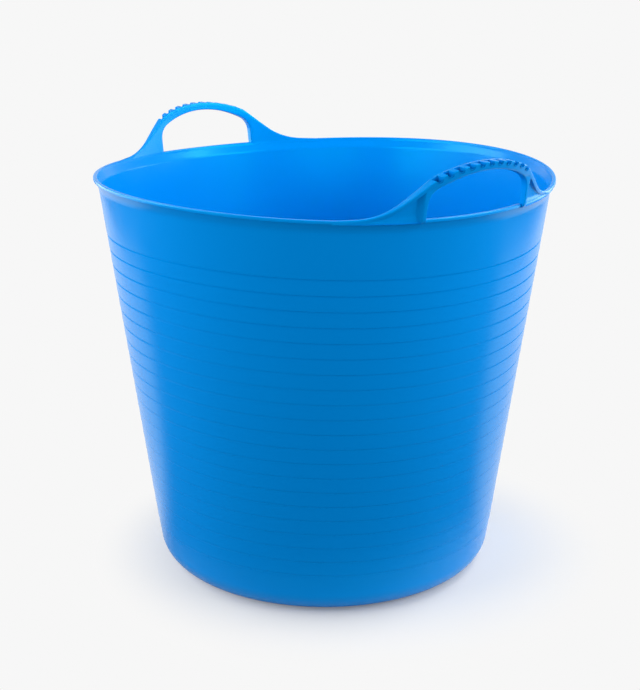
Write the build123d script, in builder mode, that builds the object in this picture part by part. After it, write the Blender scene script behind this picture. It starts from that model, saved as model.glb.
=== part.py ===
from build123d import *
from math import atan, cos, degrees, radians, sin, sqrt, tan
import os

# Flexible carrying tub, modelled upright with its floor on Z = 0 and its axis on Z.
# The two handles stand on +X (front) and -X (rear). All lengths are in millimetres.

# Driving dimensions of the bowl
rim_diameter = 445.0
rim_height = 391.0
base_diameter = 333.0
wall_thickness = 3.0
floor_thickness = 3.5
heel_radius = 25.0
collar_height = 43.0
lip_height = 10.0
lip_flare = 4.8
bead_width = 3.5
bead_height = 3.0
bead_rounding = 1.2

# Driving dimensions of the stacking steps in the wall
step_pitch = 14.7
step_ledge = 0.8
foot_band_height = 15.0

# Driving dimensions of each handle, heights measured from the rim's top edge
handle_rise = 47.0
handle_lean = 7.8
crown_radius = 125.0
crown_angle = 19.6
shoulder_radius = 45.0
leg_angle = 40.5
foot_radius = 60.0
toe_height = 0.8
bow_height = 23.0
rail_thickness = 3.0
web_thickness = 3.0
jamb_thickness = 3.0
jamb_depth = 6.7
jamb_toe_drop = 4.0
grip_depth = 11.5
grip_height = 7.5
tread_thickness = 4.0

# Driving dimensions of the hand hole and the finger notches
hole_half_width = 56.0
hole_crown_radius = 100.0
hole_corner_radius = 16.0
notch_count = 11
notch_pitch = 10.4
notch_radius = 3.3
notch_back_wall = 3.0

# Sizes worked out from the driving dimensions
rim_radius = rim_diameter / 2
collar_radius = rim_radius - lip_flare
base_radius = base_diameter / 2
crease_height = rim_height - lip_height
bead_base = rim_height - bead_height
bead_inner_radius = rim_radius - bead_width
wall_slope = (collar_radius - base_radius) / crease_height
wall_angle = atan(wall_slope)
wall_run = wall_thickness / cos(wall_angle)
top_step_height = crease_height - collar_height
lip_slope = lip_flare / lip_height
half_ledge = step_ledge / 2
handle_slope = tan(radians(handle_lean))
leg_height = handle_rise - bow_height
hole_height = handle_rise - grip_height


def wall_radius(height):
    """Outer radius of the smooth cone that the steps are cut about."""
    return base_radius + wall_slope * height


def web_radius(rise):
    """Radius of a handle's inner face at a height above the rim."""
    return bead_inner_radius + handle_slope * rise


def rail_radius(rise):
    """Radius of a handle's outer edge, flush with the rim's bead at its foot."""
    grip_radius = web_radius(handle_rise) + grip_depth
    return rim_radius + (grip_radius - rim_radius) * rise / handle_rise


# The heel's arc rolls from the floor into the lowest band of the wall
band_radius = base_radius - half_ledge
heel_centre_radius = band_radius + wall_slope * heel_radius - heel_radius / cos(wall_angle)
heel_inner_radius = heel_radius - wall_thickness
heel_middle_angle = radians(-90 - degrees(wall_angle)) / 2
heel_top = heel_radius * (1 - sin(wall_angle))


def heel_point(radius, angle):
    """Point on an arc about the heel's centre, its angle in radians from level."""
    return (heel_centre_radius + radius * cos(angle), heel_radius + radius * sin(angle))


os.makedirs("parts", exist_ok=True)

# Floor panel: the flat disc that the tub stands on
with BuildPart() as floor_panel:
    with BuildSketch(Plane.XY):
        Circle(heel_centre_radius)
    extrude(amount=floor_thickness)
floor_panel.part.label = "floor_panel"
export_step(floor_panel.part, "parts/floor_panel.step")

# Heel ring: the rounded corner between the floor and the wall
with BuildPart() as heel_ring:
    with BuildSketch(Plane.YZ):
        with BuildLine():
            outer_arc = ThreePointArc(
                heel_point(heel_radius, radians(-90)),
                heel_point(heel_radius, heel_middle_angle),
                heel_point(heel_radius, -wall_angle),
            )
            inner_arc = ThreePointArc(
                heel_point(heel_inner_radius, -wall_angle),
                heel_point(heel_inner_radius, heel_middle_angle),
                heel_point(heel_inner_radius, radians(-90)),
            )
            Line(outer_arc @ 1, inner_arc @ 0)
            Line(inner_arc @ 1, outer_arc @ 0)
        make_face()
    revolve(axis=Axis.Z)
heel_ring.part.label = "heel_ring"
export_step(heel_ring.part, "parts/heel_ring.step")

# Stepped wall: bands that each overhang the one below, with the same steps inside and out
lowest_step_limit = heel_top + foot_band_height
step_count = 1 + int((top_step_height - lowest_step_limit) / step_pitch)
step_heights = [top_step_height - step_pitch * (step_count - 1 - index) for index in range(step_count)]
outer_face = [heel_point(heel_radius, -wall_angle)]
inner_face = [heel_point(heel_inner_radius, -wall_angle)]
for height in step_heights:
    below = wall_radius(height) - half_ledge
    outer_face.append((below, height))
    inner_face.append((below - wall_run, height))
    if height < top_step_height:
        above = wall_radius(height) + half_ledge
        outer_face.append((above, height))
        inner_face.append((above - wall_run, height))

with BuildPart() as stepped_wall:
    with BuildSketch(Plane.YZ):
        with BuildLine():
            Polyline(outer_face + inner_face[::-1], close=True)
        make_face()
    revolve(axis=Axis.Z)
stepped_wall.part.label = "stepped_wall"
export_step(stepped_wall.part, "parts/stepped_wall.step")

# Collar: the smooth band between the top step and the lip
collar_foot_radius = wall_radius(top_step_height) + half_ledge

with BuildPart() as collar:
    with BuildSketch(Plane.YZ):
        with BuildLine():
            Polyline(
                (collar_foot_radius, top_step_height),
                (collar_radius, crease_height),
                (collar_radius - wall_run, crease_height),
                (collar_foot_radius - wall_run, top_step_height),
                close=True,
            )
        make_face()
    revolve(axis=Axis.Z)
collar.part.label = "collar"
export_step(collar.part, "parts/collar.step")

# Rim lip: the band above the crease that flares outwards
lip_top_radius = collar_radius + lip_slope * (lip_height - bead_height)

with BuildPart() as rim_lip:
    with BuildSketch(Plane.YZ):
        with BuildLine():
            Polyline(
                (collar_radius, crease_height),
                (lip_top_radius, bead_base),
                (lip_top_radius - wall_run, bead_base),
                (collar_radius - wall_run, crease_height),
                close=True,
            )
        make_face()
    revolve(axis=Axis.Z)
rim_lip.part.label = "rim_lip"
export_step(rim_lip.part, "parts/rim_lip.step")

# Rim bead: the rounded edge that runs round the mouth
with BuildPart() as rim_bead:
    with BuildSketch(Plane.YZ) as bead_section:
        with BuildLine():
            Polyline(
                (bead_inner_radius, bead_base),
                (rim_radius, bead_base),
                (rim_radius, rim_height),
                (bead_inner_radius, rim_height),
                close=True,
            )
        make_face()
        fillet(bead_section.vertices().group_by(Axis.Y)[-1], bead_rounding)
    revolve(axis=Axis.Z)
rim_bead.part.label = "rim_bead"
export_step(rim_bead.part, "parts/rim_bead.step")

# The handle's outline: crown, shoulder, straight leg and a foot that runs out along the rim.
# The four stretches are tangent, so an inset curve keeps their angles and changes their radii.
shoulder_angle = leg_angle - crown_angle
crown_drop = crown_radius * (1 - cos(radians(crown_angle)))
shoulder_drop = shoulder_radius * (cos(radians(crown_angle)) - cos(radians(leg_angle)))
foot_drop = foot_radius * (1 - cos(radians(leg_angle)))
leg_drop = handle_rise - toe_height - crown_drop - shoulder_drop - foot_drop
leg_length = leg_drop / sin(radians(leg_angle))
below_rim = rail_thickness + tread_thickness


def handle_face(inset):
    """Face under the handle's outline, drawn inwards by the inset and run on below the rim."""
    with BuildSketch() as face:
        with BuildLine():
            crown = JernArc((0, handle_rise - inset), (1, 0), crown_radius - inset, -crown_angle)
            shoulder = JernArc(crown @ 1, crown % 1, shoulder_radius - inset, -shoulder_angle)
            leg = Line(shoulder @ 1, (shoulder @ 1) + (shoulder % 1) * leg_length)
            foot = JernArc(leg @ 1, leg % 1, foot_radius + inset, leg_angle)
            toe = foot @ 1
            Polyline(toe, (toe.X, -below_rim), (0, -below_rim), crown @ 0)
        make_face()
        mirror(about=Plane.YZ)
    return face.sketch


def hole_face():
    """Face of the hand hole, with an arched top and round upper corners, run on below the rim."""
    side_height = hole_height - hole_crown_radius + sqrt(hole_crown_radius**2 - hole_half_width**2)
    with BuildSketch() as face:
        with BuildLine():
            top = ThreePointArc(
                (-hole_half_width, side_height), (0, hole_height), (hole_half_width, side_height)
            )
            Polyline(top @ 1, (hole_half_width, -below_rim), (-hole_half_width, -below_rim), top @ 0)
        make_face()
        fillet(face.vertices().group_by(Axis.Y)[-1], hole_corner_radius)
    return face.sketch


# Radial sections of a handle's pieces, as points of radius and height
web_section = [
    (web_radius(0), rim_height),
    (web_radius(0) + web_thickness, rim_height),
    (web_radius(leg_height) + web_thickness, rim_height + leg_height),
    (web_radius(leg_height), rim_height + leg_height),
]
rail_section = [
    (web_radius(0), rim_height),
    (rim_radius, rim_height),
    (rail_radius(handle_rise), rim_height + handle_rise),
    (web_radius(handle_rise), rim_height + handle_rise),
]
jamb_section = [
    (web_radius(0), rim_height),
    (rim_radius, rim_height),
    (rim_radius, rim_height - jamb_toe_drop),
    (web_radius(0) + jamb_depth, rim_height - jamb_toe_drop),
    (rail_radius(leg_height), rim_height + leg_height),
    (web_radius(leg_height), rim_height + leg_height),
]
notch_section = [
    (web_radius(0) + notch_back_wall, rim_height),
    (rim_radius + handle_rise, rim_height),
    (rim_radius + handle_rise, rim_height + 2 * handle_rise),
    (web_radius(2 * handle_rise) + notch_back_wall, rim_height + 2 * handle_rise),
]

foot_reach = rim_radius
jamb_outer = hole_half_width + jamb_thickness
leg_web_span = foot_reach - jamb_outer
notch_turn = degrees(notch_pitch / crown_radius)

for handle, outward in (("front", 1), ("rear", -1)):
    front_view = Plane(origin=(0, 0, rim_height), x_dir=(0, outward, 0), z_dir=(outward, 0, 0))

    for leg_name, side in (("left", -1), ("right", 1)):
        # Leg web: the thin plate in the pocket between the rail and the jamb
        with BuildPart() as leg_web:
            with BuildSketch(Plane.YZ):
                with BuildLine():
                    Polyline(web_section, close=True)
                make_face()
            revolve(axis=Axis.Z)
            with BuildSketch(front_view):
                add(handle_face(rail_thickness))
                with Locations((side * (jamb_outer + leg_web_span / 2), leg_height / 2)):
                    Rectangle(leg_web_span, leg_height, mode=Mode.INTERSECT)
            extrude(amount=rim_diameter, mode=Mode.INTERSECT)
        leg_web.part.label = f"{handle}_{leg_name}_leg_web"
        export_step(leg_web.part, f"parts/{handle}_{leg_name}_leg_web.step")

        # Leg rail: the flange that sweeps up from the rim along the leg's outer edge
        with BuildPart() as leg_rail:
            with BuildSketch(Plane.YZ):
                with BuildLine():
                    Polyline(rail_section, close=True)
                make_face()
            revolve(axis=Axis.Z)
            with BuildSketch(front_view):
                add(handle_face(0))
                add(handle_face(rail_thickness), mode=Mode.SUBTRACT)
                with Locations((side * foot_reach / 2, leg_height / 2)):
                    Rectangle(foot_reach, leg_height, mode=Mode.INTERSECT)
            extrude(amount=rim_diameter, mode=Mode.INTERSECT)
        leg_rail.part.label = f"{handle}_{leg_name}_leg_rail"
        export_step(leg_rail.part, f"parts/{handle}_{leg_name}_leg_rail.step")

        # Jamb: the flange that lines the end of the hand hole, its toe hooked over the rim
        with BuildPart() as jamb:
            with BuildSketch(Plane.YZ):
                with BuildLine():
                    Polyline(jamb_section, close=True)
                make_face()
            revolve(axis=Axis.Z)
            with BuildSketch(front_view):
                add(handle_face(rail_thickness))
                add(hole_face(), mode=Mode.SUBTRACT)
                with Locations((side * jamb_outer / 2, (leg_height - jamb_toe_drop) / 2)):
                    Rectangle(jamb_outer, leg_height + jamb_toe_drop, mode=Mode.INTERSECT)
            extrude(amount=rim_diameter, mode=Mode.INTERSECT)
        jamb.part.label = f"{handle}_{leg_name}_jamb"
        export_step(jamb.part, f"parts/{handle}_{leg_name}_jamb.step")

    # Grip bar: the smooth arch that closes the hand hole from above
    with BuildPart() as grip_bar:
        with BuildSketch(Plane.YZ):
            with BuildLine():
                Polyline(rail_section, close=True)
            make_face()
        revolve(axis=Axis.Z)
        with BuildSketch(front_view):
            add(handle_face(tread_thickness))
            add(hole_face(), mode=Mode.SUBTRACT)
            with Locations((0, leg_height + bow_height / 2)):
                Rectangle(rim_diameter, bow_height, mode=Mode.INTERSECT)
        extrude(amount=rim_diameter, mode=Mode.INTERSECT)
    grip_bar.part.label = f"{handle}_grip_bar"
    export_step(grip_bar.part, f"parts/{handle}_grip_bar.step")

    # Finger notches: half-round channels across the crown, stopped short of the inner face
    with BuildPart() as notches:
        with BuildSketch(Plane.YZ):
            with BuildLine():
                Polyline(notch_section, close=True)
            make_face()
        revolve(axis=Axis.Z)
        with BuildSketch(front_view):
            with Locations((0, handle_rise - crown_radius)):
                with PolarLocations(
                    crown_radius,
                    notch_count,
                    start_angle=90 - notch_turn * (notch_count - 1) / 2,
                    angular_range=notch_turn * (notch_count - 1),
                    endpoint=True,
                ):
                    Circle(notch_radius)
        extrude(amount=rim_diameter, mode=Mode.INTERSECT)

    # Grip tread: the top strip of the arch, with the finger notches across it
    with BuildPart() as grip_tread:
        with BuildSketch(Plane.YZ):
            with BuildLine():
                Polyline(rail_section, close=True)
            make_face()
        revolve(axis=Axis.Z)
        with BuildSketch(front_view):
            add(handle_face(0))
            add(handle_face(tread_thickness), mode=Mode.SUBTRACT)
            with Locations((0, leg_height + bow_height / 2)):
                Rectangle(rim_diameter, bow_height, mode=Mode.INTERSECT)
        extrude(amount=rim_diameter, mode=Mode.INTERSECT)
        add(notches.part, mode=Mode.SUBTRACT)
    grip_tread.part.label = f"{handle}_grip_tread"
    export_step(grip_tread.part, f"parts/{handle}_grip_tread.step")
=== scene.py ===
# %% [markdown]
# # A flexible tub in soft blue plastic
# The object is a carrying tub: one thick, bendy moulding with a stepped wall, a flared rim and two
# handles that stand up from the rim. The CAD model gives its sizes and its joints. This lesson
# builds the smooth skin that a camera sees, gives it a satin plastic finish, and lights it softly.

# %% Load the frame
from math import asin, atan, atan2, cos, pi, radians, sin, sqrt, tan, tau

import bmesh
import bpy
from mathutils import Matrix, Vector


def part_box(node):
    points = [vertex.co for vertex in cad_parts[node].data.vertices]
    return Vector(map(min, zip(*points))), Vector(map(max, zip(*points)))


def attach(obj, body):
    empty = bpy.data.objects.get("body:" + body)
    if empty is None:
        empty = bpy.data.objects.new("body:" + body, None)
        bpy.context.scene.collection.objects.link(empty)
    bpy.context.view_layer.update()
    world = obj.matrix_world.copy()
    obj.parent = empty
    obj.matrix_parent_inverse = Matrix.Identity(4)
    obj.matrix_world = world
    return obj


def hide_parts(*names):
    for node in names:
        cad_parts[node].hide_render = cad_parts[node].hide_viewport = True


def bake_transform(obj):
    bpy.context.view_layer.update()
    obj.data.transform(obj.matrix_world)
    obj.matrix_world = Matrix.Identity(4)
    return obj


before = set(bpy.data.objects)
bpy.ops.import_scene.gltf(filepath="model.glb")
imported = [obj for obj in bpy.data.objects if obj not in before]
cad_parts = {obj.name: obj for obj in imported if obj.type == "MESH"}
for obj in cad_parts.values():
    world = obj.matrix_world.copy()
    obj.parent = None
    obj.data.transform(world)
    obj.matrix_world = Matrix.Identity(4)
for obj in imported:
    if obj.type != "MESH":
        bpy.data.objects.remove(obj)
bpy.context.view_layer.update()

MM = 0.001

# %% [markdown]
# ## The camera
# The picture was taken from a little above the rim, with a medium telephoto lens. A camera can be
# aimed by a constraint, but plain numbers are easier to check: how far it stands from the tub's
# axis, how high, how far it is tipped down, and on which side of the front handle it stands.

# %% Place the camera
view_azimuth = radians(53.7)
camera_distance = 1366.3 * MM
camera_height = 635.4 * MM
camera_aside = 4.3 * MM
camera_tilt = radians(17.11)
picture_height_px = 690
focal_length_px = 1416.9
sensor_size_mm = 36.0

towards_camera = Vector((sin(view_azimuth), -cos(view_azimuth), 0))
rightwards = Vector((cos(view_azimuth), sin(view_azimuth), 0))
upwards = Vector((0, 0, 1))


def studio_point(right, towards, up):
    """A point in the room, measured from the tub's foot as the camera sees it."""
    return rightwards * right + towards_camera * towards + upwards * up


camera_data = bpy.data.cameras.new("photo_camera")
camera_data.sensor_width = sensor_size_mm
camera_data.lens = focal_length_px * sensor_size_mm / picture_height_px
camera = bpy.data.objects.new("photo_camera", camera_data)
camera.location = studio_point(-camera_aside, camera_distance, camera_height)
camera.rotation_euler = (pi / 2 - camera_tilt, 0, view_azimuth)
bpy.context.collection.objects.link(camera)
bpy.context.scene.camera = camera
print("lens", round(camera_data.lens, 2), "mm")

# %% [markdown]
# ## Sizes read from the frame
# The skin has to lie where the CAD model's solids lie. Sizes that show in the boxes of its nodes are
# read from there, and most others repeat its values. Small finish sizes are new here, such as the
# rounding of an edge. The wall's steps are shallower than in the solids, because deeper ones draw
# stronger lines than the real wall shows.

# %% Read the bowl's sizes
bead_low, bead_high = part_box("rim_bead")
rim_radius, rim_height, bead_base = bead_high.x, bead_high.z, bead_low.z
collar_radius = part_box("collar")[1].x
top_step_height, crease_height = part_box("collar")[0].z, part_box("collar")[1].z
floor_radius, floor_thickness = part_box("floor_panel")[1].x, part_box("floor_panel")[1].z
wall_thickness = 3.0 * MM
bead_width = 3.5 * MM
heel_radius = 25.0 * MM
step_pitch = 14.7 * MM
step_ledge = 0.35 * MM
step_count = 21

base_radius = 166.5 * MM
wall_slope = (collar_radius - base_radius) / crease_height
wall_angle = atan(wall_slope)
wall_run = wall_thickness / cos(wall_angle)
lip_slope = (rim_radius - collar_radius) / (rim_height - crease_height)
print("rim", round(rim_radius, 4), "crease", round(crease_height, 4), "wall slope", round(wall_slope, 4))

# %% [markdown]
# ## The soft rim
# A tub this limp never stands quite true. Its rim lies a little lower under the handles and higher
# halfway between them, like a shallow saddle, and the effect fades towards the floor. The same bend
# is used for the bowl and for the handles, so they stay together.

# %% Bend a point with the rim
rim_sag = 3.7 * MM
sag_fade = 0.66


def with_soft_rim(point):
    """The point after the rim has sagged under the handles."""
    share = max(point.z, 0) / rim_height
    turn = atan2(point.y, point.x)
    return Vector((point.x, point.y, point.z - rim_sag * share**sag_fade * cos(2 * turn)))


# %% [markdown]
# ## The bowl
# The bowl is a body of revolution: a floor, a round heel, a wall in 21 bands that each overhang the
# band below, a plain collar, and a lip that flares out to a rounded bead. It could be made from a
# cylinder with many loop cuts. Drawing its section once and spinning it is shorter and truer. The
# section is drawn with sharp corners, and a bevel rounds them before the spin. Two points under each
# overhang mark a strip of painted shade, darker and duller than the wall, stronger on the upper
# bands. The material will read that mark later.

# %% Draw the bowl's section
heel_centre = Vector((floor_radius, heel_radius))


def arc(centre, radius, first, last, count):
    """Points on an arc in the section plane, with angles measured from level."""
    angles = [first + (last - first) * index / count for index in range(count + 1)]
    return [(centre[0] + radius * cos(angle), centre[1] + radius * sin(angle)) for angle in angles]


def wall_radius(height):
    """Radius of the smooth cone that the steps are cut about."""
    return base_radius + wall_slope * height


heel_facets = 12
step_heights = [top_step_height - step_pitch * index for index in range(step_count - 1, -1, -1)]
heel_outside = arc(heel_centre, heel_radius, -pi / 2, -wall_angle, heel_facets)
heel_inside = arc(heel_centre, heel_radius - wall_thickness, -pi / 2, -wall_angle, heel_facets)

# Painted shade: a darker, duller strip under each overhang, stronger on the upper bands.
shade_strip_reach = (2.0 * MM, 1.5 * MM, 0)
shade_strip_fade = (140 * MM, 320 * MM)
band_slope = wall_slope - step_ledge / step_pitch
steps_outside = []
for height in step_heights:
    band_below, band_above = wall_radius(height) - step_ledge / 2, wall_radius(height) + step_ledge / 2
    steps_outside += [(band_below - band_slope * below, height - below) for below in shade_strip_reach]
    steps_outside.append((band_above, height))
wall_inside = [(wall_radius(height) - wall_run, height) for height in step_heights]

lip_top_radius = collar_radius + lip_slope * (bead_base - crease_height)
creases = [(collar_radius, crease_height), (collar_radius - wall_run, crease_height)]
bead_corners = [(rim_radius, rim_height), (rim_radius - bead_width, rim_height)]
bead_feet = [(lip_top_radius, bead_base), (rim_radius, bead_base), (lip_top_radius - wall_run, bead_base)]

gate_radius = 7.0 * MM
gate_depth = 0.8 * MM
nib_radius = 2.2 * MM
nib_drop = 0.5 * MM
gate_mark = [(0, nib_drop), (nib_radius, nib_drop), (nib_radius, gate_depth),
             (gate_radius, gate_depth), (gate_radius, 0)]

section = gate_mark + heel_outside + steps_outside
section += [creases[0], *bead_feet[:2], *bead_corners, bead_feet[2], creases[1]]
section += wall_inside[::-1] + heel_inside[::-1] + [(0, floor_thickness)]
print("section points", len(section))

# %% Round the corners and spin the section
bowl_facets = 192
same_place = 0.001 * MM
merge_distance = 0.002 * MM
sharp_angle = radians(50)
least_painted_shade = 0.1
points_per_step = len(shade_strip_reach) + 1
shade_strip_corners = steps_outside[1::points_per_step] + steps_outside[2::points_per_step]
corner_roundings = (
    # corners, size of the bevel, segments
    (steps_outside[3::points_per_step], 0.2 * MM, 2),
    (bead_corners, 1.0 * MM, 4),
    (bead_feet, 0.35 * MM, 2),
    (creases[:1], 2.4 * MM, 4),
    (creases[1:], 1.2 * MM, 4),
    (gate_mark[1:], 0.2 * MM, 2),
)


def found(mesh, corners):
    """The section's points that stand at the given places."""
    return [
        vert for vert in mesh.verts
        if any(abs(vert.co.x - r) + abs(vert.co.z - z) < same_place for r, z in corners)
    ]


def rounded(mesh, corners, offset, segments):
    """Rounds the section's corners that stand at the given places."""
    bmesh.ops.bevel(mesh, geom=found(mesh, corners), affect="VERTICES", offset=offset,
                    segments=segments, profile=0.5, material=-1)


bowl = bmesh.new()
bowl.faces.new([bowl.verts.new((radius, 0, height)) for radius, height in section])
# The strip points carry a share of painted shade, which the material turns into a darker colour.
painted_shade = bowl.verts.layers.float.new("painted_shade")
for vert in found(bowl, shade_strip_corners):
    share = (vert.co.z - shade_strip_fade[0]) / (shade_strip_fade[1] - shade_strip_fade[0])
    vert[painted_shade] = min(max(share, least_painted_shade), 1.0)
for corners, size, segments in corner_roundings:
    rounded(bowl, corners, size, segments)
bmesh.ops.delete(bowl, geom=bowl.faces[:], context="FACES_ONLY")
on_axis = [edge for edge in bowl.edges if all(vert.co.x < same_place for vert in edge.verts)]
bmesh.ops.delete(bowl, geom=on_axis, context="EDGES")
bmesh.ops.spin(bowl, geom=bowl.verts[:] + bowl.edges[:], cent=(0, 0, 0), axis=(0, 0, 1),
               angle=tau, steps=bowl_facets, use_merge=True)
bmesh.ops.remove_doubles(bowl, verts=bowl.verts, dist=merge_distance)
bmesh.ops.recalc_face_normals(bowl, faces=bowl.faces)
for edge in bowl.edges:
    edge.smooth = edge.calc_face_angle(0) < sharp_angle
for vert in bowl.verts:
    vert.co = with_soft_rim(vert.co)
print("bowl faces", len(bowl.faces), "open edges", sum(edge.is_boundary for edge in bowl.edges))


# %% Turn the bowl into an object
def finished_piece(mesh, name):
    """A smooth-shaded object made from a bmesh, which is freed."""
    for face in mesh.faces:
        face.smooth = True
    data = bpy.data.meshes.new(name)
    mesh.to_mesh(data)
    mesh.free()
    piece = bpy.data.objects.new(name, data)
    bpy.context.collection.objects.link(piece)
    piece.modifiers.new("even_shading", "WEIGHTED_NORMAL").keep_sharp = True
    return piece


tub_shell = finished_piece(bowl, "tub_shell")
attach(tub_shell, "tub")
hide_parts("floor_panel", "heel_ring", "stepped_wall", "collar", "rim_lip", "rim_bead")
print(tub_shell.name, len(tub_shell.data.polygons), "faces")

# %% [markdown]
# ## The handles' outline
# Seen from outside, a handle is an arch. Its top edge is a crown, two tighter shoulders, two
# straight legs, and feet that run out along the rim. Its hand hole has a flatter arch, two round
# corners and upright sides. Both lines are written as a distance walked from the middle, which
# gives a point and a direction at every step. That makes evenly spaced columns of faces easy.

# %% Walk along the top edge and along the hole's edge
handle_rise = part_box("front_grip_tread")[1].z - rim_height
leg_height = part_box("front_grip_bar")[0].z - rim_height
crown_radius, crown_angle = 125.0 * MM, radians(19.6)
shoulder_radius, leg_angle = 45.0 * MM, radians(40.5)
foot_radius, tail_angle = 60.0 * MM, radians(4.0)
toe_height = 0.8 * MM
tail_length = 1.0
grip_height = 7.5 * MM
hole_half_width, hole_crown_radius, hole_corner_radius = 56.0 * MM, 100.0 * MM, 16.0 * MM


def turned(start, radius, first, last):
    """Where an arc ends that begins at a point and turns from one slope to another."""
    across = radius * abs(sin(last) - sin(first))
    down = radius * abs(cos(last) - cos(first))
    return Vector((start[0] + across, start[1] - down))


crown_end = turned((0, handle_rise), crown_radius, 0, crown_angle)
shoulder_end = turned(crown_end, shoulder_radius, crown_angle, leg_angle)
leg_drop = shoulder_end.y - toe_height - foot_radius * (1 - cos(leg_angle))
leg_length = leg_drop / sin(leg_angle)
leg_end = shoulder_end + Vector((cos(leg_angle), -sin(leg_angle))) * leg_length
foot_end = turned(leg_end, foot_radius, leg_angle, tail_angle)


def top_edge(walked):
    """Point and outward direction of the handle's top edge, at a distance from its middle."""
    stretches = (
        (crown_radius * crown_angle, Vector((0, handle_rise)), crown_radius, 0),
        (shoulder_radius * (leg_angle - crown_angle), crown_end, shoulder_radius, crown_angle),
        (leg_length, shoulder_end, None, leg_angle),
        (foot_radius * (leg_angle - tail_angle), leg_end, -foot_radius, leg_angle),
        (tail_length, foot_end, None, tail_angle),
    )
    for length, start, radius, slope in stretches:
        if walked <= length:
            break
        walked -= length
    if radius is None:
        point = start + Vector((cos(slope), -sin(slope))) * walked
    else:
        last = slope + walked / radius
        point = turned(start, abs(radius), slope, last)
        slope = last
    return point, Vector((sin(slope), cos(slope)))


hole_top = handle_rise - grip_height
corner_across = hole_half_width - hole_corner_radius
corner_reach = hole_crown_radius - hole_corner_radius
corner_slope = asin(corner_across / corner_reach)
corner_centre = Vector((corner_across, hole_top - hole_crown_radius + corner_reach * cos(corner_slope)))
hole_arch_length = hole_crown_radius * corner_slope
hole_corner_length = hole_corner_radius * (pi / 2 - corner_slope)


def hole_edge(walked):
    """Point and outward direction of the hand hole's edge, at a distance from its middle."""
    if walked <= hole_arch_length:
        out = Vector((sin(walked / hole_crown_radius), cos(walked / hole_crown_radius)))
        return Vector((0, hole_top - hole_crown_radius)) + out * hole_crown_radius, out
    walked -= hole_arch_length
    if walked <= hole_corner_length:
        slope = corner_slope + walked / hole_corner_radius
        out = Vector((sin(slope), cos(slope)))
        return corner_centre + out * hole_corner_radius, out
    walked -= hole_corner_length
    return Vector((hole_half_width, corner_centre.y - walked)), Vector((1, 0))


print("foot ends", round(foot_end.x / MM, 1), "mm out; hole corner at", round(corner_centre.y / MM, 1), "mm")

# %% [markdown]
# ## Columns and lines of a handle
# A handle starts as a flat grid that is bent into the arch: columns follow the arch from toe to toe,
# and nine lines cross it from the top edge to the hole. In each leg the grid's middle cells will
# become the floor of a pocket between two flanges, the outer rail and the jamb beside the hole.

# %% Place a grid point on the arch
notch_pitch = 10.4 * MM
columns_per_notch = 16
column_width = notch_pitch / columns_per_notch
bow_columns = 102
leg_columns = 30
side_columns = bow_columns + leg_columns
last_line = 8
rail_thickness, bow_rail_thickness = 3.0 * MM, 3.24 * MM
jamb_thickness = 3.0 * MM
jamb_line = hole_half_width + jamb_thickness
crown_jamb_share, leg_jamb_share, jamb_spread_start = 0.22, 0.88, 0.6
jamb_toe = 4.0 * MM
bead_drop = 2.9 * MM
leg_reach = 74.0 * MM
bow_reach = bow_columns * column_width
foot_reach = bow_reach + leg_reach
bow_hole_reach = hole_arch_length + hole_corner_radius * (
    pi / 2 - asin((leg_height - corner_centre.y) / hole_corner_radius) - corner_slope
)
foot_hole_reach = hole_arch_length + hole_corner_length + corner_centre.y + jamb_toe


def eased(value, low, high):
    """0 below low, 1 above high, and a smooth climb between."""
    share = min(max((value - low) / (high - low), 0), 1)
    return share * share * (3 - 2 * share)


def arch_lines(column):
    """The top edge, the rail's inner edge, the jamb's edge and the hole's edge at one column."""
    step = abs(column)
    if step <= bow_columns:
        share = step / bow_columns
        top, top_out = top_edge(bow_reach * share)
        hole, hole_out = hole_edge(bow_hole_reach * share)
        rail = top - top_out * bow_rail_thickness
        spread = eased(share, jamb_spread_start, 1)
        jamb = hole.lerp(rail, crown_jamb_share + (leg_jamb_share - crown_jamb_share) * spread)
    else:
        share = (step - bow_columns) / leg_columns
        top, top_out = top_edge(bow_reach + (foot_reach - bow_reach) * share)
        hole, hole_out = hole_edge(bow_hole_reach + (foot_hole_reach - bow_hole_reach) * share)
        rail = top - top_out * rail_thickness
        jamb = Vector((jamb_line, max(hole.y, -bead_drop)))
    return top, top_out, rail, jamb, hole, hole_out


print("the bow reaches", round(top_edge(bow_reach)[0].x / MM, 1), "mm across")

# %% [markdown]
# ## Depth of a handle
# The arch is thin at its feet, where it is flush with the rim's bead, and deepens to a broad grip at
# the crown. It also leans outwards. So a point on the grid has a depth as well, and a last function
# wraps the flat arch round the tub: its height sets how far out its inner face lies.

# %% Give the arch its depth and wrap it round the rim
handle_slope = tan(radians(7.8))
bead_slope = 0.32
proud_inside, proud_outside = 0.03 * MM, 0.05 * MM
foot_depth = proud_inside + bead_width + proud_outside
crown_depth = 11.5 * MM
jamb_foot_depth = 6.7 * MM
web_thickness = 3.0 * MM
web_fillet = 4.0 * MM
toe_rounding = 3.0 * MM


def rail_depth(height):
    """Depth of the rail and the grip at a height above the rim."""
    if height < 0:
        return foot_depth - bead_slope * height
    return foot_depth + (crown_depth - foot_depth) * height / handle_rise


def web_depth(height):
    """Depth of a pocket's floor, which swells to the bead's face at the rim."""
    swell = 1 - eased(height, 0, web_fillet)
    return web_thickness + (rail_depth(min(height, 0)) - web_thickness) * swell


def jamb_depth(height):
    """Depth of the jamb, with a rounded toe that hooks over the rim's bead."""
    share = min(max((height + jamb_toe) / (leg_height + jamb_toe), 0), 1)
    depth = jamb_foot_depth + (rail_depth(leg_height) - jamb_foot_depth) * share
    above_toe = min(max(height + jamb_toe, 0), toe_rounding)
    return depth - toe_rounding + sqrt(toe_rounding**2 - (toe_rounding - above_toe) ** 2)


def wrapped(across, height, depth):
    """A point of the flat arch, wrapped round the rim and leaning outwards."""
    lean = handle_slope * max(height, 0) + bead_slope * min(height, 0)
    radius = rim_radius - bead_width - proud_inside + lean + depth
    return with_soft_rim(Vector((sqrt(radius**2 - across**2), across, rim_height + height)))


print("rail depth", [round(rail_depth(h) / MM, 2) for h in (0, leg_height, handle_rise)], "mm")

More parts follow.
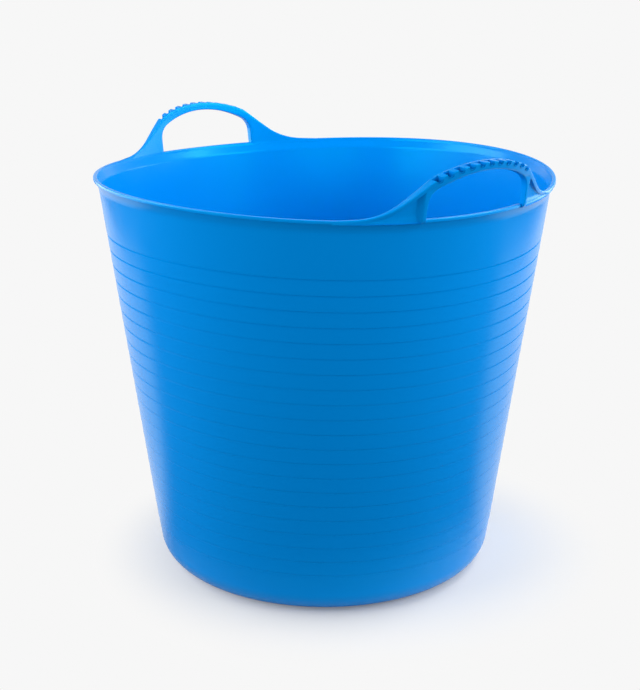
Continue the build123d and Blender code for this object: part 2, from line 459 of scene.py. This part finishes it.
# %% [markdown]
# ## Finger notches
# Eleven half-round notches run across the crown, so that wet fingers don't slip. They stop at a thin
# wall on the inner side, which rises a little behind each notch and is scooped on its back. They are
# made by lowering the columns of the top edge, because a boolean cut would leave ragged edges.

# %% Lower the top edge at the notches
notch_count = 11
notch_radius = 2.9 * MM
notch_depth = 3.3 * MM
notch_fullness = 0.4
back_wall = 3.0 * MM
scallop = 0.25 * MM
scoop = 1.3 * MM


def notch_at(column):
    """Depth of the notch at a column, and how far the wall behind it is waved, from 0 to 1."""
    walked = abs(column) * column_width
    nearest = round(walked / notch_pitch)
    if nearest > notch_count // 2:
        return 0, 0
    aside = abs(walked - nearest * notch_pitch)
    lowered = notch_depth * max(1 - (aside / notch_radius) ** 2, 0) ** notch_fullness
    return lowered, cos(pi * aside / notch_pitch) ** 2


print("notch depths", [round(notch_at(c)[0] / MM, 2) for c in range(columns_per_notch // 2)], "mm")

# %% [markdown]
# ## Building a handle
# The grid is pulled outwards in a few short extrusions. Each extrusion has its own depth and its own
# small inset, so the edges come out rounded without a separate bevel. The pocket floors are then
# extruded back inwards in the same way. The notches are darkened with painted shade, so their points
# get the same mark as the strips on the wall, only stronger.

# %% Extrude the layers of one handle
edge_rounding = 1.0 * MM
pocket_rounding = 0.6 * MM
jamb_slant = 0.9
pit_share, pit_lead = 1.4, 0.35 * MM
easing_columns = 12
first_notched_layer = 4
# Painted shade in the notches, stronger than on the wall's strips.
pit_painted_shade = 6.0
corner_share = 1 - sqrt(0.5)


def layers_of(full_depth):
    """Depth, inset and notch share of each layer from the inner face to the outer face."""
    wall = min(back_wall, full_depth / 2)
    return (
        (0, edge_rounding, 0),
        (edge_rounding * corner_share, edge_rounding * corner_share, 0),
        (edge_rounding, 0, 0),
        (wall - pit_lead, 0, 0),
        (wall, 0, pit_share),
        (full_depth - edge_rounding, 0, 1),
        (full_depth - edge_rounding * corner_share, edge_rounding * corner_share, 1),
        (full_depth, edge_rounding, 1),
    )


def pocket_layers(full_depth, floor):
    """Depth and inset of each layer of a pocket, from its mouth to its floor."""
    rounding = min(pocket_rounding, max(full_depth - floor, 0) / 2)
    return (
        (full_depth - rounding * corner_share, rounding * (1 - corner_share)),
        (full_depth - rounding, rounding),
        (floor + rounding, rounding),
        (floor + rounding * corner_share, rounding * (1 + corner_share)),
        (min(floor, full_depth), 2 * rounding),
    )


def handle_point(column, line, layer=0, pocket_layer=None):
    """Place of one grid point in one layer of the handle."""
    top, top_out, rail, jamb, hole, hole_out = arch_lines(column)
    share = (line - 1) / (last_line - 2)
    if line == 0:
        point = top
    elif line == last_line:
        point = hole
    else:
        point = rail.lerp(jamb, share)
    in_leg = eased(abs(column), bow_columns - easing_columns, bow_columns)
    beside_hole = min(max(share, 0), 1) * in_leg
    full_depth = rail_depth(point.y) * (1 - beside_hole) + jamb_depth(point.y) * beside_hole
    if pocket_layer is not None:
        depth, inset = pocket_layers(full_depth, web_depth(point.y))[pocket_layer]
        slant = jamb_slant * (full_depth - depth)
        point = point + (Vector((inset + slant, 0)) * share - top_out * inset * (1 - share))
    else:
        depth, inset, notched = layers_of(full_depth)[layer]
        lowered, wave = notch_at(column)
        if line == 0:
            behind = scallop - scoop * inset / edge_rounding if depth < back_wall / 2 else scallop
            drop = lowered * notched if notched else -behind * wave
            point = top - top_out * (inset + drop)
        elif line == last_line:
            point = hole + hole_out * inset
    side = -1 if column < 0 else 1
    return wrapped(side * point.x, point.y, depth)


# %% Grow one handle from a grid
def handle_mesh():
    """A bmesh of one handle, standing on the rim at +X."""
    mesh = bmesh.new()
    bmesh.ops.create_grid(mesh, x_segments=last_line, y_segments=2 * side_columns, size=1)
    column_of = mesh.verts.layers.int.new("column")
    line_of = mesh.verts.layers.int.new("line")
    # This layer carries the painted shade in the notches.
    painted_shade_of = mesh.verts.layers.float.new("painted_shade")
    for vert in mesh.verts:
        vert[line_of] = round((vert.co.x + 1) / 2 * last_line)
        vert[column_of] = round(vert.co.y * side_columns)
    for face in mesh.faces:
        lines = [vert[line_of] for vert in face.verts]
        nearest = min(abs(vert[column_of]) for vert in face.verts)
        in_pocket = min(lines) >= 1 and max(lines) <= last_line - 1 and nearest >= bow_columns
        face.material_index = 1 if in_pocket else 0

    def lift(faces, **layer):
        edges = {edge for face in faces for edge in face.edges}
        verts = {vert for face in faces for vert in face.verts}
        made = bmesh.ops.extrude_face_region(mesh, geom=[*faces, *edges, *verts])["geom"]
        for vert in [item for item in made if isinstance(item, bmesh.types.BMVert)]:
            vert.co = handle_point(vert[column_of], vert[line_of], **layer)
            # Points deep in a notch get painted shade.
            in_notch = vert[line_of] == 0 and layer.get("layer", 0) >= first_notched_layer
            vert[painted_shade_of] = pit_painted_shade * notch_at(vert[column_of])[0] / notch_depth if in_notch else 0
        return [item for item in made if isinstance(item, bmesh.types.BMFace)]

    for vert in mesh.verts:
        vert.co = handle_point(vert[column_of], vert[line_of])
    faces = mesh.faces[:]
    for layer in range(1, len(layers_of(crown_depth))):
        faces = lift(faces, layer=layer)
    faces = [face for face in faces if face.material_index == 1]
    for layer in range(len(pocket_layers(crown_depth, 0))):
        faces = lift(faces, pocket_layer=layer)
    for face in mesh.faces:
        face.material_index = 0
    bmesh.ops.remove_doubles(mesh, verts=mesh.verts, dist=same_place)
    bmesh.ops.recalc_face_normals(mesh, faces=mesh.faces)
    for edge in mesh.edges:
        edge.smooth = edge.calc_face_angle(0) < sharp_angle
    return mesh


handles = []
for end, turn in (("front", 0), ("rear", pi)):
    mesh = handle_mesh()
    bmesh.ops.rotate(mesh, verts=mesh.verts, cent=(0, 0, 0), matrix=Matrix.Rotation(turn, 3, "Z"))
    piece = finished_piece(mesh, f"{end}_handle_moulding")
    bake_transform(piece)
    nodes = [f"{end}_grip_bar", f"{end}_grip_tread"]
    for side in ("left", "right"):
        nodes += [f"{end}_{side}_leg_web", f"{end}_{side}_leg_rail", f"{end}_{side}_jamb"]
    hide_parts(*nodes)
    handles.append(piece)
    print(piece.name, len(piece.data.polygons), "faces")

# %% [markdown]
# ## The plastic
# Soft polyethylene has an even colour right through, a satin skin, and a very fine orange-peel. Tubs
# are stored inside each other, so the wall also carries faint upright rub marks. A single gloss value
# would look like paint. Here the roughness and the bump come from two noises, one as fine as the skin
# and one drawn out upwards. The colour drifts a little from place to place. The marked strips under
# each overhang and the notches get painted shade: their colour is darker and their shine duller.

# %% Helpers for shader nodes
def node(tree, kind, **settings):
    """A new node with some of its settings filled in."""
    made = tree.nodes.new(kind)
    for key, value in settings.items():
        setattr(made, key, value)
    return made


def remapped(tree, value, low, high, kind="LINEAR", start=0.0, stop=1.0):
    """A node output that carries a value from one range to another."""
    made = node(tree, "ShaderNodeMapRange", interpolation_type=kind)
    for name, number in (("From Min", start), ("From Max", stop), ("To Min", low), ("To Max", high)):
        made.inputs[name].default_value = number
    tree.links.new(value, made.inputs["Value"])
    return made.outputs["Result"]


def combined(tree, operation, first, second):
    """A node output that joins two others by a sum, a product or the like."""
    made = node(tree, "ShaderNodeMath", operation=operation)
    tree.links.new(first, made.inputs[0])
    tree.links.new(second, made.inputs[1])
    return made.outputs["Value"]


def noise(tree, place, scale, detail):
    """A node output that carries a noise pattern."""
    made = node(tree, "ShaderNodeTexNoise")
    made.inputs["Scale"].default_value = scale
    made.inputs["Detail"].default_value = detail
    tree.links.new(place, made.inputs["Vector"])
    return made.outputs["Fac"]


# %% Make the plastic
plastic_blue = (0.0, 0.262, 0.785, 1)
plastic_deep_blue = (0.0, 0.25, 0.76, 1)
plastic_ior, plastic_shine = 1.46, 0.5
shine_tint = (0.0, 1.0, 1.0, 1)
drift_scale, drift_detail = 9.0, 2.0
rub_scale, rub_detail = 420.0, 3.0
rub_stretch = (1, 1, 0.03)
rub_low, rub_high = 0.3, 0.75
rub_roughness = (0.20, 0.27)
peel_scale, peel_detail = 700.0, 1.0
peel_strength, peel_depth = 0.05, 0.2 * MM
# Painted shade: the deep blue that the marked strips and notches are darkened towards, its share, and the
# roughness added there.
painted_shade_blue = (0.0, 0.1, 0.35, 1)
painted_shade_cover, painted_shade_roughness = 0.8, 0.65


def moulded_plastic(name):
    """Satin blue plastic with orange-peel, upright rub marks, a slow drift of colour and painted shade."""
    material = bpy.data.materials.new(name)
    material.use_nodes = True
    tree = material.node_tree
    link = tree.links.new
    shader = tree.nodes["Principled BSDF"]
    shader.inputs["IOR"].default_value = plastic_ior
    shader.inputs["Specular Tint"].default_value = shine_tint

    place = node(tree, "ShaderNodeTexCoord").outputs["Object"]
    colour = node(tree, "ShaderNodeMix", data_type="RGBA")
    colour.inputs["A"].default_value = plastic_deep_blue
    colour.inputs["B"].default_value = plastic_blue
    link(noise(tree, place, drift_scale, drift_detail), colour.inputs["Factor"])
    # Painted shade: the marked strips and notches are mixed towards a deep blue and lose their shine.
    painted_shade_mask = node(tree, "ShaderNodeAttribute", attribute_name="painted_shade").outputs["Fac"]
    painted_shade_colour = node(tree, "ShaderNodeMix", data_type="RGBA")
    painted_shade_colour.inputs["B"].default_value = painted_shade_blue
    link(colour.outputs["Result"], painted_shade_colour.inputs["A"])
    link(remapped(tree, painted_shade_mask, 0, painted_shade_cover, stop=pit_painted_shade), painted_shade_colour.inputs["Factor"])
    link(painted_shade_colour.outputs["Result"], shader.inputs["Base Color"])

    upright = node(tree, "ShaderNodeMapping")
    upright.inputs["Scale"].default_value = rub_stretch
    link(place, upright.inputs["Vector"])
    rubs = noise(tree, upright.outputs["Vector"], rub_scale, rub_detail)
    gloss = remapped(tree, rubs, *rub_roughness, start=rub_low, stop=rub_high)
    gloss = combined(tree, "ADD", gloss, remapped(tree, painted_shade_mask, 0, painted_shade_roughness))
    link(gloss, shader.inputs["Roughness"])
    link(remapped(tree, painted_shade_mask, plastic_shine, 0), shader.inputs["Specular IOR Level"])

    skin = node(tree, "ShaderNodeBump")
    skin.inputs["Strength"].default_value = peel_strength
    skin.inputs["Distance"].default_value = peel_depth
    link(noise(tree, place, peel_scale, peel_detail), skin.inputs["Height"])
    link(skin.outputs["Normal"], shader.inputs["Normal"])
    return material


bowl_plastic = moulded_plastic("bowl_plastic")
tub_shell.data.materials.append(bowl_plastic)
for piece in handles:
    piece.data.materials.append(bowl_plastic)
print("plastic on", 1 + len(handles), "pieces")

# %% [markdown]
# ## The studio
# The tub stands on a white sweep that has no visible end. Near the tub the paper is matt, so it holds
# a soft shadow. Further out it fades into an even glow at the level of the backdrop, which hides the
# paper's edge from every side. The fade is centred a little to the right, where the shadow falls.

# %% Lay the floor
floor_size = 8.0
floor_mesh = bmesh.new()
bmesh.ops.create_grid(floor_mesh, x_segments=1, y_segments=1, size=floor_size / 2)
floor_data = bpy.data.meshes.new("white_sweep")
floor_mesh.to_mesh(floor_data)
floor_mesh.free()
white_sweep = bpy.data.objects.new("white_sweep", floor_data)
bpy.context.collection.objects.link(white_sweep)
paper = bpy.data.materials.new("white_paper")
paper.use_nodes = True
floor_data.materials.append(paper)
print("floor", floor_size, "m across")

# %% Fade the paper into a glow
white_level = 0.93
paper_matt = 0.57
paper_glow = 0.14
fade_start, fade_end = 0.15, 0.27
shadow_centre = rightwards * 0.03

paper_tree = paper.node_tree
paper_tree.nodes.clear()
spot = node(paper_tree, "ShaderNodeTexCoord").outputs["Object"]
offset = node(paper_tree, "ShaderNodeVectorMath", operation="SUBTRACT")
paper_tree.links.new(spot, offset.inputs[0])
offset.inputs[1].default_value = shadow_centre
reach = node(paper_tree, "ShaderNodeVectorMath", operation="LENGTH")
paper_tree.links.new(offset.outputs["Vector"], reach.inputs[0])
far_share = remapped(paper_tree, reach.outputs["Value"], 0, 1, "SMOOTHSTEP", fade_start, fade_end)
matt = node(paper_tree, "ShaderNodeBsdfDiffuse")
paper_tree.links.new(remapped(paper_tree, far_share, paper_matt, 0), matt.inputs["Color"])
level = remapped(paper_tree, far_share, paper_glow, white_level)
print("paper fades from", fade_start, "to", fade_end, "m")

# %% [markdown]
# ## What the shine sees
# A satin wall mirrors the floor round it, so the floor decides how the wall's edges look. Behind the
# tub the paper is white, and that draws a pale band down each edge. Beside the tub a photographer
# lays dark cards, and the rest of the wall keeps its full blue. Here the cards are a darker glow that
# only glossy rays meet. Light that bounces off the glow is weaker too, so it doesn't fog the wall.

# %% Lay dark cards for reflections
bounce_share = 0.28
card_level = 0.05
card_slant = 0.21
card_line = (0.0, 0.11)
card_skew = 0.07
sweep_half_width = (0.95, 1.07)


def along(tree, place, axis):
    """A node output that tells how far a place lies along an axis."""
    made = node(tree, "ShaderNodeVectorMath", operation="DOT_PRODUCT")
    tree.links.new(place, made.inputs[0])
    made.inputs[1].default_value = axis
    return made.outputs["Value"]


sideways = node(paper_tree, "ShaderNodeMath", operation="ABSOLUTE")
paper_tree.links.new(along(paper_tree, spot, rightwards), sideways.inputs[0])
sideways = sideways.outputs["Value"]
forwards = along(paper_tree, spot, towards_camera - rightwards * card_skew)
forwards = combined(paper_tree, "ADD", forwards, remapped(paper_tree, sideways, 0, card_slant))
behind = remapped(paper_tree, forwards, 1, 0, "SMOOTHSTEP", *card_line)
on_sweep = remapped(paper_tree, sideways, 1, 0, "SMOOTHSTEP", *sweep_half_width)
white_share = combined(paper_tree, "MULTIPLY", behind, on_sweep)
print("cards glow at", card_level, "of the paper")

# %% Choose the glow for each kind of ray
ray = node(paper_tree, "ShaderNodeLightPath").outputs
direct = combined(paper_tree, "MAXIMUM", ray["Is Camera Ray"], ray["Is Transmission Ray"])
share = node(paper_tree, "ShaderNodeMix", data_type="FLOAT")
paper_tree.links.new(ray["Is Glossy Ray"], share.inputs["Factor"])
paper_tree.links.new(remapped(paper_tree, direct, bounce_share, 1), share.inputs["A"])
paper_tree.links.new(remapped(paper_tree, white_share, card_level, 1), share.inputs["B"])
glow = node(paper_tree, "ShaderNodeEmission")
strength = combined(paper_tree, "MULTIPLY", level, share.outputs["Result"])
paper_tree.links.new(strength, glow.inputs["Strength"])
both = node(paper_tree, "ShaderNodeAddShader")
paper_tree.links.new(matt.outputs["BSDF"], both.inputs[0])
paper_tree.links.new(glow.outputs["Emission"], both.inputs[1])
paper_out = node(paper_tree, "ShaderNodeOutputMaterial")
paper_tree.links.new(both.outputs["Shader"], paper_out.inputs["Surface"])
print("paper nodes", len(paper_tree.nodes))

# %% [markdown]
# ## The light
# The room is white near the ground and grey above, so that faces turned upwards don't go milky. Seven
# soft boxes stand round the tub, out of the picture. Two light the sides of the wall. Two stand
# higher and further back, and light the inside over the rim. Two low ones show as pale streaks in
# the handles, and a weak one behind the camera lifts the front.

# %% Paint the room
ceiling_level = 0.12
room_fade = (0.03, 0.42)
world = bpy.data.worlds.new("white_room")
bpy.context.scene.world = world
world.use_nodes = True
room_tree = world.node_tree
room_tree.nodes.clear()
direction = node(room_tree, "ShaderNodeSeparateXYZ")
room_tree.links.new(node(room_tree, "ShaderNodeTexCoord").outputs["Generated"], direction.inputs["Vector"])
height_share = direction.outputs["Z"]
room_level = remapped(room_tree, height_share, white_level, ceiling_level, "SMOOTHSTEP", *room_fade)
room = node(room_tree, "ShaderNodeBackground")
room.inputs["Color"].default_value = (1, 1, 1, 1)
room_tree.links.new(room_level, room.inputs["Strength"])
room_out = node(room_tree, "ShaderNodeOutputWorld")
room_tree.links.new(room.outputs["Background"], room_out.inputs["Surface"])
print("room from", white_level, "up to", ceiling_level)

# %% Hang the lamps
aim_share = 0.8
lamp_target = Vector((0, 0, rim_height * aim_share))
soft_boxes = (
    # name, degrees from the camera's side, then metres: distance, height, width, depth; brightness
    ("left_box", -65, 1.3, 0.85, 1.0, 0.75, 4.8),
    ("right_box", 65, 1.3, 0.95, 1.0, 0.75, 5.5),
    ("left_back_box", -105, 1.3, 1.3, 1.0, 0.75, 5.0),
    ("right_back_box", 105, 1.0, 1.45, 0.9, 0.7, 8.6),
    ("left_low_box", -112, 1.15, 0.35, 1.1, 0.4, 3.0),
    ("right_low_box", 112, 1.15, 0.35, 1.1, 0.4, 3.0),
    ("front_box", 0, 1.7, 0.75, 1.2, 0.6, 1.3),
)
for name, azimuth, distance, height, width, depth, brightness in soft_boxes:
    data = bpy.data.lights.new(name, "AREA")
    data.shape = "RECTANGLE"
    data.size, data.size_y = width, depth
    data.energy = brightness * pi * width * depth
    lamp = bpy.data.objects.new(name, data)
    turn = radians(azimuth)
    lamp.location = studio_point(distance * sin(turn), distance * cos(turn), height)
    lamp.rotation_euler = (lamp_target - lamp.location).to_track_quat("-Z", "Y").to_euler()
    lamp.visible_camera = False
    bpy.context.collection.objects.link(lamp)
bpy.context.scene.view_settings.view_transform = "Standard"
print("lamps", len(soft_boxes))
